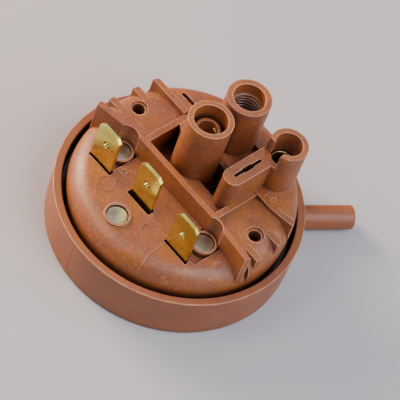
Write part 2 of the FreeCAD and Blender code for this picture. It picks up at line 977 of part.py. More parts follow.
def moving_contacts():
    low = rocker_z + rocker_thick / 2
    buttons = []
    for side in (-1, 1):
        x = side * contact_x
        buttons.append(soften_top(rod(x, contact_y, low, low + button_height, button_radius), button_crown))
    return tilted(Part.makeCompound(buttons))


def return_spring():
    inner_edge = return_x - return_radius - return_wire
    bottom = rocker_z + rocker_thick / 2 - inner_edge * math.sin(rocker_tilt) + seat_gap
    top = roof_front - seat_gap
    return coil_spring(return_x, contact_y, bottom, top, return_radius, return_wire, return_turns)


def save(name, shape):
    shape.exportStep(os.path.join("parts", name + ".step"))


def main():
    os.makedirs("parts", exist_ok=True)
    save("pressure_cup", pressure_cup())
    save("switch_housing", switch_housing())
    save("diaphragm", diaphragm())
    save("diaphragm_plate", diaphragm_plate())
    save("push_pin", push_pin())
    save("range_lever", range_lever())
    save("lever_pin", lever_pin())

    set_bottom = set_screw_top - set_screw_length
    reset_bottom = reset_screw_top - reset_screw_length
    trim_bottom = trim_screw_top - trim_screw_length
    save("set_screw", set_screw())
    save("reset_screw", reset_screw())
    save("trim_screw", trim_screw())
    adjusters = [
        ("set", tower_x, set_tower_y, set_bottom, set_bore_radius, set_wire, set_turns),
        ("reset", tower_x, reset_tower_y, reset_bottom, reset_bore_radius, reset_wire, reset_turns),
        ("trim", trim_tower_x, trim_tower_y, trim_bottom, trim_bore_radius, trim_wire, trim_turns),
    ]
    for name, x, y, bottom, bore_radius, wire, turns in adjusters:
        save(name + "_spring_seat", spring_seat(x, y, bottom, bore_radius, wire))
        save(name + "_spring", adjusting_spring(x, y, bottom, bore_radius, wire, turns))

    for name, place in zip(("nc", "common", "no"), terminal_places()):
        save(name + "_terminal", spade_terminal(*place))
    contact_top = foot_bottom - seat_gap
    save("nc_contact_rivet", rivet(-contact_x, contact_y, contact_top, contact_radius, contact_height))
    save("no_contact_rivet", rivet(contact_x, contact_y, contact_top, contact_radius, contact_height))
    bracket_face = bracket_bottom - seat_gap
    save("common_rivet", rivet(common_blade_x, common_rivet_y, bracket_face, head_radius, head_height))

    save("common_bracket", common_bracket())
    save("contact_rocker", contact_rocker())
    save("rocker_pin", rocker_pin())
    save("moving_contacts", moving_contacts())
    save("return_spring", return_spring())


main()
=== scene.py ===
import json
import math

import bmesh
import bpy
from mathutils import Matrix, Vector


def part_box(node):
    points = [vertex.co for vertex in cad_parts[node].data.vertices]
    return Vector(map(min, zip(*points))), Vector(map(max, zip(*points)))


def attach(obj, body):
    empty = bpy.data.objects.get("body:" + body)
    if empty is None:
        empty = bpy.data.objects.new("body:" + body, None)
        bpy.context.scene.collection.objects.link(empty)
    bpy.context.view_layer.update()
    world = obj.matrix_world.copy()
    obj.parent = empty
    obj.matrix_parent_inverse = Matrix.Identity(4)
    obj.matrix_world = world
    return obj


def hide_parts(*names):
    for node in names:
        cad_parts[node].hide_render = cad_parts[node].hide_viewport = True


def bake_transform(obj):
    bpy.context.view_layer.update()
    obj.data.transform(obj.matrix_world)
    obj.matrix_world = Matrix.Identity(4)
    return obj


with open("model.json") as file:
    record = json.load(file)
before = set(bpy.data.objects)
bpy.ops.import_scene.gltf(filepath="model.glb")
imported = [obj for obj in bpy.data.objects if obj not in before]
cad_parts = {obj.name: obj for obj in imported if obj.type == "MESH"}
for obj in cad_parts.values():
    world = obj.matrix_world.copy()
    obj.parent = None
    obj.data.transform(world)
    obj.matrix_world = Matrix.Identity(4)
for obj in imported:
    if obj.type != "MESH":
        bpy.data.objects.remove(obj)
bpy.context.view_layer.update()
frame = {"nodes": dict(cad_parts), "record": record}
mm = 0.001
nodes = frame["nodes"]
scene = bpy.context.scene
print("frame loaded with", len(nodes), "nodes")


def linear(colour):
    # sRGB hex to linear red, green, blue and alpha
    parts = [int(colour[i:i + 2], 16) / 255 for i in (1, 3, 5)]
    return [part / 12.92 if part < 0.04045 else ((part + 0.055) / 1.055) ** 2.4 for part in parts] + [1.0]


def addNode(tree, kind, inputs=None, **settings):
    # Inputs are keyed by socket identifier or name; an output socket as value makes a link
    node = tree.nodes.new(kind)
    for name, value in settings.items():
        setattr(node, name, value)
    for key, value in (inputs or {}).items():
        socket = next(entry for entry in node.inputs if key in (entry.identifier, entry.name))
        if isinstance(value, bpy.types.NodeSocket):
            tree.links.new(value, socket)
        else:
            socket.default_value = value
    return node


mixedColour = 2  # index of a Mix node's colour result


def newMaterial(name):
    material = bpy.data.materials.new(name)
    material.use_nodes = True
    material.node_tree.nodes.clear()
    return material, material.node_tree


def addObject(name, data):
    item = bpy.data.objects.new(name, data)
    scene.collection.objects.link(item)
    return item


def plainMesh(item):
    # What the modifiers, the text or the curve come to, as a mesh; no modifier stays behind
    bpy.context.view_layer.update()
    mesh = bpy.data.meshes.new_from_object(item.evaluated_get(bpy.context.evaluated_depsgraph_get()))
    for modifier in list(item.modifiers):
        item.modifiers.remove(modifier)
    return mesh


def axisOf(node):
    # Middle of a round node seen from above, in millimetres
    low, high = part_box(node)
    return (low[0] + high[0]) / 2 / mm, (low[1] + high[1]) / 2 / mm


def topOf(node):
    # A node's highest point, in millimetres
    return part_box(node)[1][2] / mm


# Camera: the photograph's angle, found from the round rim, the tabs and the screw holes
camera = {
    "azimuthDeg": 30.3,
    "elevationDeg": 52.413,
    "rollDeg": 22.875,
    "distance": 450 * mm,
    "aim": Vector((0, 0, topOf("pressure_cup") * mm)),  # middle of the cup's rim
    "aimPixel": (180.693, 195.013),
    "pixelsPerMm": 4.702,
    "frameSide": 400,  # pixels
    "sensor": 36,
    "clip": (10 * mm, 20),
}


def viewAxes():
    angles = ("azimuthDeg", "elevationDeg", "rollDeg")
    azimuth, elevation, roll = (math.radians(camera[key]) for key in angles)
    level = Vector((math.cos(azimuth), math.sin(azimuth), 0))
    outward = Vector((math.sin(azimuth), -math.cos(azimuth), 0))
    back = outward * math.cos(elevation) + Vector((0, 0, math.sin(elevation)))
    upright = back.cross(level)
    right = level * math.cos(roll) + upright * math.sin(roll)
    up = upright * math.cos(roll) - level * math.sin(roll)
    return right, up, back


def placeCamera():
    right, up, back = viewAxes()
    middle = camera["frameSide"] / 2
    perPixel = mm / camera["pixelsPerMm"]
    across = (camera["aimPixel"][0] - middle) * perPixel
    above = (middle - camera["aimPixel"][1]) * perPixel
    data = bpy.data.cameras.new("photoCamera")
    data.sensor_width = camera["sensor"]
    data.lens = camera["sensor"] * camera["pixelsPerMm"] * camera["distance"] / mm / camera["frameSide"]
    data.clip_start, data.clip_end = camera["clip"]
    item = addObject("photoCamera", data)
    place = camera["aim"] + back * camera["distance"] - right * across - up * above
    item.matrix_world = Matrix.Translation(place) @ Matrix((right, up, back)).transposed().to_4x4()
    scene.camera = item


placeCamera()
print("camera placed")


# Studio: a pale floor, a strong soft light low on the left, weaker ones around and above, a faint blue room
studio = {
    "floorSide": 3.0,
    "floorDrop": 0.05 * mm,  # keeps the floor just clear of the cup's base
    "floorColour": "#b8babf",
    "floorRough": 0.85,
    "floorSpecular": 0.2,
    "worldColour": "#6f95f5",
    "worldStrength": 0.09,
    "lightDistance": 0.6,
    "lights": [
        {"name": "leftLight", "from": (-0.93, -0.13, 0.34),
         "side": 0.30, "power": 8.8, "colour": "#ffd8ba"},
        {"name": "frontLeftLight", "from": (-0.36, -0.48, 0.80),
         "side": 0.30, "power": 1.5, "colour": "#fff2ea"},
        {"name": "rightLight", "from": (0.88, 0.06, 0.47),
         "side": 0.22, "power": 0.9, "colour": "#fff6ee"},
        {"name": "backRightLight", "from": (0.6, 0.6, 0.5),
         "side": 0.30, "power": 1.3, "colour": "#fff6ee"},
        {"name": "topLight", "from": (0.5, -0.05, 0.86),
         "side": 0.30, "power": 2.2, "colour": "#f6f7ff"},
        {"name": "backLight", "from": (-0.31, 0.53, 0.79),
         "side": 0.34, "power": 0.4, "colour": "#f4f6ff"},
    ],
}


def buildFloor():
    # Matt painted board: pale and even, so that only shadows show on it
    material, tree = newMaterial("mattPaintedBoard")
    shader = addNode(tree, "ShaderNodeBsdfPrincipled", {
        "Base Color": linear(studio["floorColour"]), "Roughness": studio["floorRough"],
        "Specular IOR Level": studio["floorSpecular"]})
    addNode(tree, "ShaderNodeOutputMaterial", {"Surface": shader.outputs["BSDF"]})
    half = studio["floorSide"] / 2
    corners = [(-half, -half, 0), (half, -half, 0), (half, half, 0), (-half, half, 0)]
    mesh = bpy.data.meshes.new("floor")
    mesh.from_pydata(corners, [], [(0, 1, 2, 3)])
    mesh.materials.append(material)
    floor = addObject("floor", mesh)
    floor.location.z = -studio["floorDrop"]


def buildLights():
    world = bpy.data.worlds.new("softRoom")
    world.use_nodes = True
    background = world.node_tree.nodes["Background"]
    background.inputs["Color"].default_value = linear(studio["worldColour"])
    background.inputs["Strength"].default_value = studio["worldStrength"]
    scene.world = world
    for light in studio["lights"]:
        data = bpy.data.lights.new(light["name"], "AREA")
        data.size = light["side"]
        data.energy = light["power"]
        data.color = linear(light["colour"])[:3]
        item = addObject(light["name"], data)
        item.location = camera["aim"] + Vector(light["from"]).normalized() * studio["lightDistance"]
        item.rotation_euler = (item.location - camera["aim"]).to_track_quat("Z", "Y").to_euler()


buildFloor()
buildLights()
print("studio built")


# Plastics: clouds and flecks in the resin, pale edges that are partly rubbed wear and partly painted
# highlight, old grease and painted shade in the depths
plasticLook = {
    "ior": 1.6,  # typical of phenolic resin; the hidden acetal plate shares it
    # An edge must be this open to get its pale colour, which is partly rubbed wear and partly painted
    # highlight
    "openReach": 2,  # how far around an edge has to be free for it to get rubbed, in rub widths
    "grainDepth": 0.1,  # share of the grain's width
}


def plasticFinish(name, finish):
    material, tree = newMaterial(name)
    place = addNode(tree, "ShaderNodeTexCoord").outputs["Object"]
    cloud = addNode(tree, "ShaderNodeTexNoise", {
        "Vector": place, "Scale": 1 / (finish["cloudMm"] * mm),
        "Detail": 3.0, "Roughness": 0.6, "Distortion": 1.4})
    cloudShare = addNode(tree, "ShaderNodeMapRange", {
        "Value": cloud.outputs["Fac"], "From Min": 0.36, "From Max": 0.66})
    base = addNode(tree, "ShaderNodeMix", {
        "Factor_Float": cloudShare.outputs["Result"],
        "A_Color": linear(finish["warm"]), "B_Color": linear(finish["cool"])}, data_type="RGBA")

    # Filler flecks are finer on the real one; here they are coarse enough to show
    fleck = addNode(tree, "ShaderNodeTexNoise", {
        "Vector": place, "Scale": 1 / (finish["fleckMm"] * mm), "Detail": 2.0, "Roughness": 0.7})
    fleckShare = addNode(tree, "ShaderNodeMapRange", {
        "Value": fleck.outputs["Fac"], "From Min": 0.52, "From Max": 0.75, "To Max": finish["fleckAmount"]})
    flecked = addNode(tree, "ShaderNodeMix", {
        "Factor_Float": fleckShare.outputs["Result"],
        "A_Color": base.outputs[mixedColour], "B_Color": linear(finish["fleck"])}, data_type="RGBA")

    # Pale edges, partly rubbed wear and partly a painted highlight: a wide bevel finds the edges, and only
    # the open ones count
    soft = addNode(tree, "ShaderNodeBevel", {"Radius": finish["edgeMm"] * mm}, samples=6)
    wide = addNode(tree, "ShaderNodeBevel", {"Radius": finish["rubAndHighlightMm"] * mm}, samples=8)
    straight = addNode(tree, "ShaderNodeNewGeometry")
    turn = addNode(tree, "ShaderNodeVectorMath", {
        "Vector": wide.outputs["Normal"], "Vector_001": straight.outputs["Normal"]},
        operation="DOT_PRODUCT")
    edge = addNode(tree, "ShaderNodeMapRange", {
        "Value": turn.outputs["Value"],
        "From Min": 0.985, "From Max": 0.86, "To Max": finish["edgeAmount"]})
    openness = addNode(tree, "ShaderNodeAmbientOcclusion", {
        "Distance": finish["rubAndHighlightMm"] * plasticLook["openReach"] * mm}, samples=6)
    opened = addNode(tree, "ShaderNodeMapRange", {
        "Value": openness.outputs["AO"], "From Min": 0.5, "From Max": 0.8})
    rubAndHighlight = addNode(tree, "ShaderNodeMath", {
        "Value": edge.outputs["Result"], "Value_001": opened.outputs["Result"]}, operation="MULTIPLY")
    rubbedAndHighlit = addNode(tree, "ShaderNodeMix", {
        "Factor_Float": rubAndHighlight.outputs["Value"],
        "A_Color": flecked.outputs[mixedColour], "B_Color": linear(finish["edge"])}, data_type="RGBA")

    # Old grease and painted shade darken what lies deep between walls
    depth = addNode(tree, "ShaderNodeAmbientOcclusion", {"Distance": finish["creviceMm"] * mm}, samples=8)
    greaseAndShadeShare = addNode(tree, "ShaderNodeMapRange", {
        "Value": depth.outputs["AO"],
        "From Min": 0.66, "From Max": 0.12, "To Max": finish["creviceAmount"]})
    colour = addNode(tree, "ShaderNodeMix", {
        "Factor_Float": greaseAndShadeShare.outputs["Result"],
        "A_Color": rubbedAndHighlit.outputs[mixedColour], "B_Color": linear(finish["greaseAndShade"])}, data_type="RGBA")

    # The clouds also vary the gloss; the tool's grain is drawn coarse enough to show
    gloss = addNode(tree, "ShaderNodeMapRange", {
        "Value": cloud.outputs["Fac"], "From Min": 0.3, "From Max": 0.7,
        "To Min": finish["roughLow"], "To Max": finish["roughHigh"]})
    grain = addNode(tree, "ShaderNodeTexNoise", {
        "Vector": place, "Scale": 1 / (finish["grainMm"] * mm), "Detail": 3.0, "Roughness": 0.6})
    bump = addNode(tree, "ShaderNodeBump", {
        "Height": grain.outputs["Fac"], "Strength": finish["grainStrength"],
        "Distance": finish["grainMm"] * plasticLook["grainDepth"] * mm, "Normal": soft.outputs["Normal"]})
    shader = addNode(tree, "ShaderNodeBsdfPrincipled", {
        "Base Color": colour.outputs[mixedColour], "Roughness": gloss.outputs["Result"],
        "Normal": bump.outputs["Normal"], "IOR": plasticLook["ior"],
        "Specular IOR Level": finish["specular"]})
    addNode(tree, "ShaderNodeOutputMaterial", {"Surface": shader.outputs["BSDF"]})
    return material


# Phenolic, hot moulded and much handled: clouded copper brown with pale flecks, satin, edges pale as rubbed
# wear and painted highlight, depths darkened by grease and painted shade
housingPlastic = plasticFinish("mouldedPhenolicHousing", {
    "warm": "#965724", "cool": "#814a35", "fleck": "#bd865c", "edge": "#eebb9d", "greaseAndShade": "#280a0a",
    "cloudMm": 8.0, "fleckMm": 0.6, "fleckAmount": 0.5, "edgeMm": 0.11, "rubAndHighlightMm": 0.24, "edgeAmount": 0.9,
    "creviceMm": 3.5, "creviceAmount": 0.9,
    "roughLow": 0.38, "roughHigh": 0.54, "grainMm": 0.45, "grainStrength": 0.4, "specular": 0.5})

# Phenolic moulded in a smoother tool: the same brown with few flecks, wide clouds and an even satin
cupPlastic = plasticFinish("mouldedPhenolicCup", {
    "warm": "#955726", "cool": "#8a4f34", "fleck": "#a87046", "edge": "#e2a870", "greaseAndShade": "#200807",
    "cloudMm": 16.0, "fleckMm": 0.7, "fleckAmount": 0.2, "edgeMm": 0.12, "rubAndHighlightMm": 0.26, "edgeAmount": 0.8,
    "creviceMm": 4.0, "creviceAmount": 0.95,
    "roughLow": 0.42, "roughHigh": 0.52, "grainMm": 0.5, "grainStrength": 0.15, "specular": 0.5})

# Phenolic moulded as a small screw: the housing's brown, a little more even and glossier
screwPlastic = plasticFinish("mouldedPhenolicScrew", {
    "warm": "#995a2b", "cool": "#834a3a", "fleck": "#bb8060", "edge": "#e2ad8c", "greaseAndShade": "#280a0a",
    "cloudMm": 6.0, "fleckMm": 0.5, "fleckAmount": 0.3, "edgeMm": 0.1, "rubAndHighlightMm": 0.22, "edgeAmount": 0.8,
    "creviceMm": 2.5, "creviceAmount": 0.8,
    "roughLow": 0.36, "roughHigh": 0.48, "grainMm": 0.4, "grainStrength": 0.2, "specular": 0.5})

# Phenolic where it flowed in at the gate: a shade paler and duller than the skin around it
markPlastic = plasticFinish("mouldedPhenolicMark", {
    "warm": "#a2643a", "cool": "#8d5444", "fleck": "#bb8060", "edge": "#c08a6a", "greaseAndShade": "#280a0a",
    "cloudMm": 2.0, "fleckMm": 0.6, "fleckAmount": 0.5, "edgeMm": 0.05, "rubAndHighlightMm": 0.1, "edgeAmount": 0.3,
    "creviceMm": 1.0, "creviceAmount": 0.3,
    "roughLow": 0.48, "roughHigh": 0.62, "grainMm": 0.3, "grainStrength": 0.3, "specular": 0.4})

# Phenolic with a cut thread, polished by the screw: pale shiny crests, and old grease with painted shade,
# black further down
threadPlastic = plasticFinish("cutPhenolicThread", {
    "warm": "#b98c74", "cool": "#ad8676", "fleck": "#c49f8a", "edge": "#e6c6b0", "greaseAndShade": "#1c0606",
    "cloudMm": 6.0, "fleckMm": 0.5, "fleckAmount": 0.3, "edgeMm": 0.05, "rubAndHighlightMm": 0.1, "edgeAmount": 0.5,
    "creviceMm": 8.0, "creviceAmount": 0.8,
    "roughLow": 0.3, "roughHigh": 0.42, "grainMm": 0.4, "grainStrength": 0.2, "specular": 0.5})

# Phenolic flash, broken off: thin torn edges, their pale colour partly a painted highlight along the rims
flashPaintedHighlightPlastic = plasticFinish("tornPhenolicFlashPaintedHighlight", {
    "warm": "#c08a60", "cool": "#b5805f", "fleck": "#d2a07c", "edge": "#e8c09c", "greaseAndShade": "#280a0a",
    "cloudMm": 5.0, "fleckMm": 0.5, "fleckAmount": 0.3, "edgeMm": 0.05, "rubAndHighlightMm": 0.1, "edgeAmount": 0.6,
    "creviceMm": 1.0, "creviceAmount": 0.2,
    "roughLow": 0.45, "roughHigh": 0.6, "grainMm": 0.3, "grainStrength": 0.3, "specular": 0.4})

# Acetal, injection moulded: off-white, even and half matt
innerPlastic = plasticFinish("mouldedAcetalPlate", {
    "warm": "#d8d3c8", "cool": "#cfcabf", "fleck": "#e6e2da", "edge": "#efece4", "greaseAndShade": "#3a342c",
    "cloudMm": 9.0, "fleckMm": 0.8, "fleckAmount": 0.2, "edgeMm": 0.12, "rubAndHighlightMm": 0.2, "edgeAmount": 0.4,
    "creviceMm": 2.0, "creviceAmount": 0.3,
    "roughLow": 0.4, "roughHigh": 0.5, "grainMm": 0.5, "grainStrength": 0.1, "specular": 0.5})
print("plastics made")


# Metals: a mirror with faint lines from the tool, dull patches, and tarnish with painted shade where it
# lies deep
metalLook = {
    "lineDepthMm": 0.01,
    # The tarnish deepens into painted shade over this span
    "tarnishAndShadeSpan": 0.3,  # from the first tint to full tarnish, as a share of open sky
}


def metalFinish(name, finish):
    material, tree = newMaterial(name)
    place = addNode(tree, "ShaderNodeTexCoord").outputs["Object"]

    # Tool lines are finer on the real one; here they are coarse enough to show
    stretch = addNode(tree, "ShaderNodeMapping", {"Vector": place, "Scale": finish["stretch"]})
    lines = addNode(tree, "ShaderNodeTexNoise", {
        "Vector": stretch.outputs["Vector"], "Scale": 1 / (finish["lineMm"] * mm), "Detail": 3.0})
    patch = addNode(tree, "ShaderNodeTexNoise", {
        "Vector": place, "Scale": 1 / (finish["patchMm"] * mm), "Detail": 3.0, "Roughness": 0.6})
    share = addNode(tree, "ShaderNodeMapRange", {
        "Value": patch.outputs["Fac"], "From Min": 0.42, "From Max": 0.7, "To Max": finish["patchAmount"]})
    clean = addNode(tree, "ShaderNodeMix", {
        "Factor_Float": share.outputs["Result"],
        "A_Color": linear(finish["bright"]), "B_Color": linear(finish["dull"])}, data_type="RGBA")

    # Tarnish and painted shade where the metal lies deep in a bore
    depth = addNode(tree, "ShaderNodeAmbientOcclusion", {"Distance": finish["deepMm"] * mm}, samples=8)
    tarnishAndShadeShare = addNode(tree, "ShaderNodeMapRange", {
        "Value": depth.outputs["AO"], "From Min": finish["deepFrom"],
        "From Max": finish["deepFrom"] - metalLook["tarnishAndShadeSpan"], "To Max": finish["deepAmount"]})
    colour = addNode(tree, "ShaderNodeMix", {
        "Factor_Float": tarnishAndShadeShare.outputs["Result"],
        "A_Color": clean.outputs[mixedColour], "B_Color": linear(finish["tarnishAndShade"])}, data_type="RGBA")
    gloss = addNode(tree, "ShaderNodeMapRange", {
        "Value": patch.outputs["Fac"], "From Min": 0.35, "From Max": 0.7,
        "To Min": finish["roughLow"], "To Max": finish["roughHigh"]})
    soft = addNode(tree, "ShaderNodeBevel", {"Radius": finish["edgeMm"] * mm}, samples=6)
    bump = addNode(tree, "ShaderNodeBump", {
        "Height": lines.outputs["Fac"], "Strength": finish["lineStrength"],
        "Distance": metalLook["lineDepthMm"] * mm, "Normal": soft.outputs["Normal"]})
    shader = addNode(tree, "ShaderNodeBsdfPrincipled", {
        "Base Color": colour.outputs[mixedColour], "Metallic": 1.0, "Roughness": gloss.outputs["Result"],
        "Normal": bump.outputs["Normal"]})
    addNode(tree, "ShaderNodeOutputMaterial", {"Surface": shader.outputs["BSDF"]})
    return material


# Brass strip, rolled and stamped: a greenish yellow mirror with upright lines and dull touched patches
tabBrass = metalFinish("stampedTabBrass", {
    "bright": "#ded46a", "dull": "#b9a648", "stretch": (1, 1, 0.08), "lineMm": 0.25, "lineStrength": 0.12,
    "patchMm": 3.0, "patchAmount": 0.7, "roughLow": 0.17, "roughHigh": 0.28, "edgeMm": 0.09,
    "tarnishAndShade": "#120c04", "deepMm": 3.0, "deepFrom": 0.45, "deepAmount": 0.95})

# Brass, freshly turned edge: a thin pale line that catches the light, painted paler than brass as a glint
paleGlintBrass = metalFinish("turnedRimBrass", {
    "bright": "#f0dc94", "dull": "#d8ba62", "stretch": (1, 1, 1), "lineMm": 0.25, "lineStrength": 0.1,
    "patchMm": 1.5, "patchAmount": 0.5, "roughLow": 0.3, "roughHigh": 0.4, "edgeMm": 0.03,
    "tarnishAndShade": "#120c04", "deepMm": 0.5, "deepFrom": 0.45, "deepAmount": 0.1})

# Brass, turned and left in a bore: golden at the mouth, and tarnish with painted shade makes it nearly
# black below
screwBrass = metalFinish("turnedScrewBrass", {
    "bright": "#d8b85e", "dull": "#b08c3a", "stretch": (1, 1, 1), "lineMm": 0.25, "lineStrength": 0.15,
    "patchMm": 1.5, "patchAmount": 0.6, "roughLow": 0.34, "roughHigh": 0.46, "edgeMm": 0.05,
    "tarnishAndShade": "#0e0903", "deepMm": 4.0, "deepFrom": 0.75, "deepAmount": 0.97})

# Silver, cold headed: a warm grey, soft mirror with cloudy patches
contactSilver = metalFinish("headedContactSilver", {
    "bright": "#c4bca4", "dull": "#958c74", "stretch": (1, 1, 1), "lineMm": 0.5, "lineStrength": 0.2,
    "patchMm": 2.2, "patchAmount": 0.8, "roughLow": 0.28, "roughHigh": 0.42, "edgeMm": 0.12,
    "tarnishAndShade": "#2b241a", "deepMm": 1.0, "deepFrom": 0.45, "deepAmount": 0.5})

# Steel, bright rolled: neutral grey with faint rolling lines all one way
brightSteel = metalFinish("rolledBrightSteel", {
    "bright": "#c6c7c9", "dull": "#9fa0a3", "stretch": (0.1, 1, 1), "lineMm": 0.3, "lineStrength": 0.25,
    "patchMm": 4.0, "patchAmount": 0.6, "roughLow": 0.24, "roughHigh": 0.38, "edgeMm": 0.1,
    "tarnishAndShade": "#1c1b1a", "deepMm": 1.5, "deepFrom": 0.45, "deepAmount": 0.4})

# Steel wire, drawn: darker grey with a soft shine
springWire = metalFinish("drawnSpringWire", {
    "bright": "#a9aaac", "dull": "#808184", "stretch": (1, 1, 1), "lineMm": 0.2, "lineStrength": 0.2,
    "patchMm": 2.0, "patchAmount": 0.6, "roughLow": 0.26, "roughHigh": 0.36, "edgeMm": 0.05,
    "tarnishAndShade": "#1c1b1a", "deepMm": 1.0, "deepFrom": 0.45, "deepAmount": 0.4})
print("metals made")


def rubberFinish(name, finish):
    material, tree = newMaterial(name)
    place = addNode(tree, "ShaderNodeTexCoord").outputs["Object"]
    bloom = addNode(tree, "ShaderNodeTexNoise", {
        "Vector": place, "Scale": 1 / (finish["bloomMm"] * mm), "Detail": 4.0})
    colour = addNode(tree, "ShaderNodeMix", {
        "Factor_Float": bloom.outputs["Fac"],
        "A_Color": linear(finish["dark"]), "B_Color": linear(finish["dusty"])}, data_type="RGBA")
    bump = addNode(tree, "ShaderNodeBump", {
        "Height": bloom.outputs["Fac"], "Strength": finish["bumpStrength"],
        "Distance": finish["bumpMm"] * mm})
    shader = addNode(tree, "ShaderNodeBsdfPrincipled", {
        "Base Color": colour.outputs[mixedColour], "Roughness": finish["rough"],
        "Normal": bump.outputs["Normal"]})
    addNode(tree, "ShaderNodeOutputMaterial", {"Surface": shader.outputs["BSDF"]})
    return material


# Nitrile sheet, moulded: near black and matt with a fine dusty bloom
sheetRubber = rubberFinish("mouldedNitrileSheet", {
    "dark": "#141414", "dusty": "#2b2b2b", "bloomMm": 0.6,
    "bumpStrength": 0.2, "bumpMm": 0.02, "rough": 0.75})
print("rubber made")


# Every node's material goes by its slot in the record
slotMaterials = {
    "housing_plastic": housingPlastic,
    "cup_plastic": cupPlastic,
    "screw_plastic": screwPlastic,
    "inner_plastic": innerPlastic,
    "brass": tabBrass,
    "silver": contactSilver,
    "steel": brightSteel,
    "spring_steel": springWire,
    "rubber": sheetRubber,
}
ownMaterials = {"trim_screw": screwBrass}  # the one brass piece that shows deep in a bore
slotOfNode = {part["node"]: part["material_slot"] for part in frame["record"]["subparts"]}
bodies = frame["record"]["behaviour"]["bodies"]
bodyOfNode = {node: body for body, group in bodies.items() for node in group}
materialOf = {node: ownMaterials.get(node, slotMaterials[slot]) for node, slot in slotOfNode.items()}
for name, item in nodes.items():
    item.data.materials.clear()
    item.data.materials.append(materialOf[name])
print("nodes finished")


def fixPiece(piece, body):
    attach(piece, body)


# Smooth copies of the solids that show, so that round walls shade as round
smoothing = {
    "shown": ["pressure_cup", "switch_housing", "set_screw", "reset_screw", "trim_screw",
              "nc_contact_rivet", "common_rivet", "no_contact_rivet",
              "nc_terminal", "common_terminal", "no_terminal"],
    "mergeDistance": 0.002 * mm,
    "creaseDeg": 25,
}


def mergedShape(node):
    # A working copy of the node, with its loose triangles joined
    shape = bmesh.new()
    shape.from_mesh(nodes[node].data)
    bmesh.ops.remove_doubles(shape, verts=shape.verts, dist=smoothing["mergeDistance"])
    return shape


def shapedPiece(shape, name, material):
    # The working copy as an object that shades by its own faces and sharp edges
    for face in shape.faces:
        face.smooth = True
    mesh = bpy.data.meshes.new(name)
    shape.to_mesh(mesh)
    shape.free()
    if "custom_normal" in mesh.attributes:
        mesh.attributes.remove(mesh.attributes["custom_normal"])
    mesh.materials.append(material)
    return addObject(name, mesh)


def smoothCopy(node):
    shape = mergedShape(node)
    for edge in shape.edges:
        edge.smooth = edge.calc_face_angle(0) < math.radians(smoothing["creaseDeg"])
    piece = shapedPiece(shape, node + "Smooth", materialOf[node])
    weighted = piece.modifiers.new("flatFacesFirst", "WEIGHTED_NORMAL")
    weighted.keep_sharp = True
    piece.data = plainMesh(piece)
    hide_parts(node)
    fixPiece(piece, bodyOfNode[node])


for node in smoothing["shown"]:
    smoothCopy(node)
print("smooth copies made")


# Springs: each adjusting spring is cut at its middle into a head and a foot. The return spring
# is kept whole.
springs = [
    {"node": "set_spring", "head": "set_seat", "foot": "lever"},
    {"node": "reset_spring", "head": "reset_seat", "foot": "lever"},
    {"node": "trim_spring", "head": "trim_seat", "foot": "lever"},
    {"node": "return_spring", "head": None, "foot": "rocker"},
]


def coilHalf(node, name, still, moving):
    # Keeps the coil from the still height to the moving end and closes the cut
    shape = mergedShape(node)
    away = 1 if still > moving else -1
    bmesh.ops.bisect_plane(shape, geom=shape.verts[:] + shape.edges[:] + shape.faces[:],
                           plane_co=(0, 0, still), plane_no=(0, 0, away), clear_outer=True)
    bmesh.ops.holes_fill(shape, edges=[edge for edge in shape.edges if edge.is_boundary])
    bmesh.ops.recalc_face_normals(shape, faces=shape.faces)
    piece = shapedPiece(shape, name, materialOf[node])
    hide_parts(node)
    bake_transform(piece)


for spring in springs:
    bottom, top = (corner[2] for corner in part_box(spring["node"]))
    middle = (bottom + top) / 2 if spring["head"] else top
    coilHalf(spring["node"], spring["node"] + "Foot", middle, bottom)
    if spring["head"]:
        coilHalf(spring["node"], spring["node"] + "Head", middle, top)
print("springs split")


# Raised lines that follow a ring or a spiral: a bore's thread, two mould marks, flash round the rims
# partly painted pale as a highlight, and two brass edges painted bright as glints
raisedLine = {
    "inputs": [
        ("start", "Start Radius", "NodeSocketFloat", 1 * mm),
        ("end", "End Radius", "NodeSocketFloat", 1 * mm),
        ("rise", "Rise", "NodeSocketFloat", 0.0),
        ("turns", "Turns", "NodeSocketFloat", 1.0),
        ("steps", "Steps per Turn", "NodeSocketInt", 48),
        ("ridge", "Ridge Radius", "NodeSocketFloat", 0.05 * mm),
        ("wobble", "Wobble", "NodeSocketFloat", 0.0),
        ("uneven", "Unevenness", "NodeSocketFloat", 0.0),
        ("finish", "Finish", "NodeSocketMaterial", None),
    ],
    "lengths": ("start", "end", "rise", "ridge", "wobble"),  # in millimetres in the list of spirals
    "wobbleScale": 0.9 / mm,  # about one bend to a millimetre
    "swellScale": 0.4 / mm,  # thick and thin every two or three millimetres
    "sectionCorners": 6,
}


